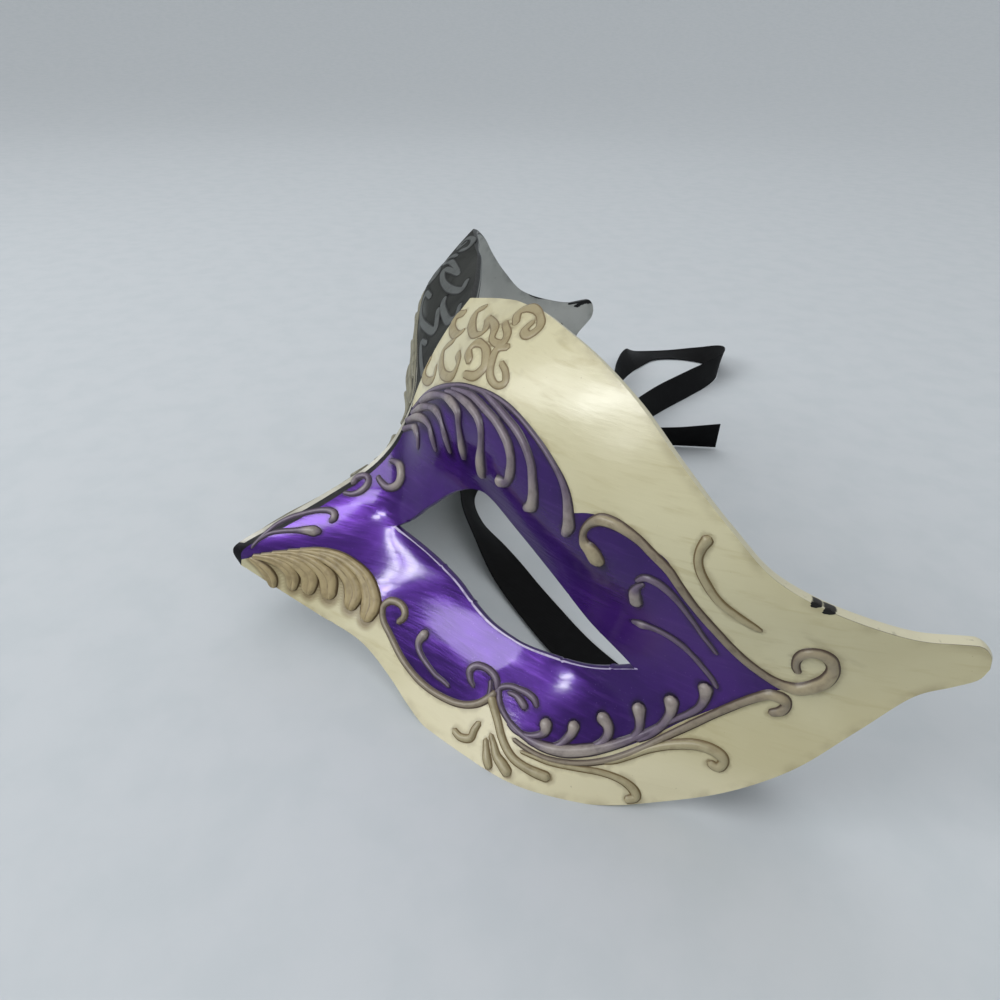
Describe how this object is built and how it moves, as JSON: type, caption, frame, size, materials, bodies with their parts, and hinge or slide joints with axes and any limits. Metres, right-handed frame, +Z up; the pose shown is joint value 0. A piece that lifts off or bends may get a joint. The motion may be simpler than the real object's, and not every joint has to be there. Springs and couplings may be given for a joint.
{
  "type": "masquerade mask",
  "caption": "Painted half mask with a pointed beak nose, almond eye openings, domed brow, flared wing tips, raised scrolling piping and black satin ribbon ties.",
  "frame": {"origin": "on the surface the mask rests on, under the middle of the whole object with its ribbons", "axes": "+Z up, -Y the way the mask faces, +X towards the wearer's left and along the mask's width"},
  "size_m": [0.3016, 0.2284, 0.0937],
  "materials": {
    "lacquered_papier": "glossy lacquer over antiqued cream, metallic purple and dark pewter paint on papier mache, with taupe piping and a grey painted inside",
    "black_satin": "black satin ribbon"
  },
  "bodies": {
    "root": {"mask_shell": "lacquered_papier", "ribbon_left": "black_satin", "ribbon_right": "black_satin"}
  },
  "joints": []
}
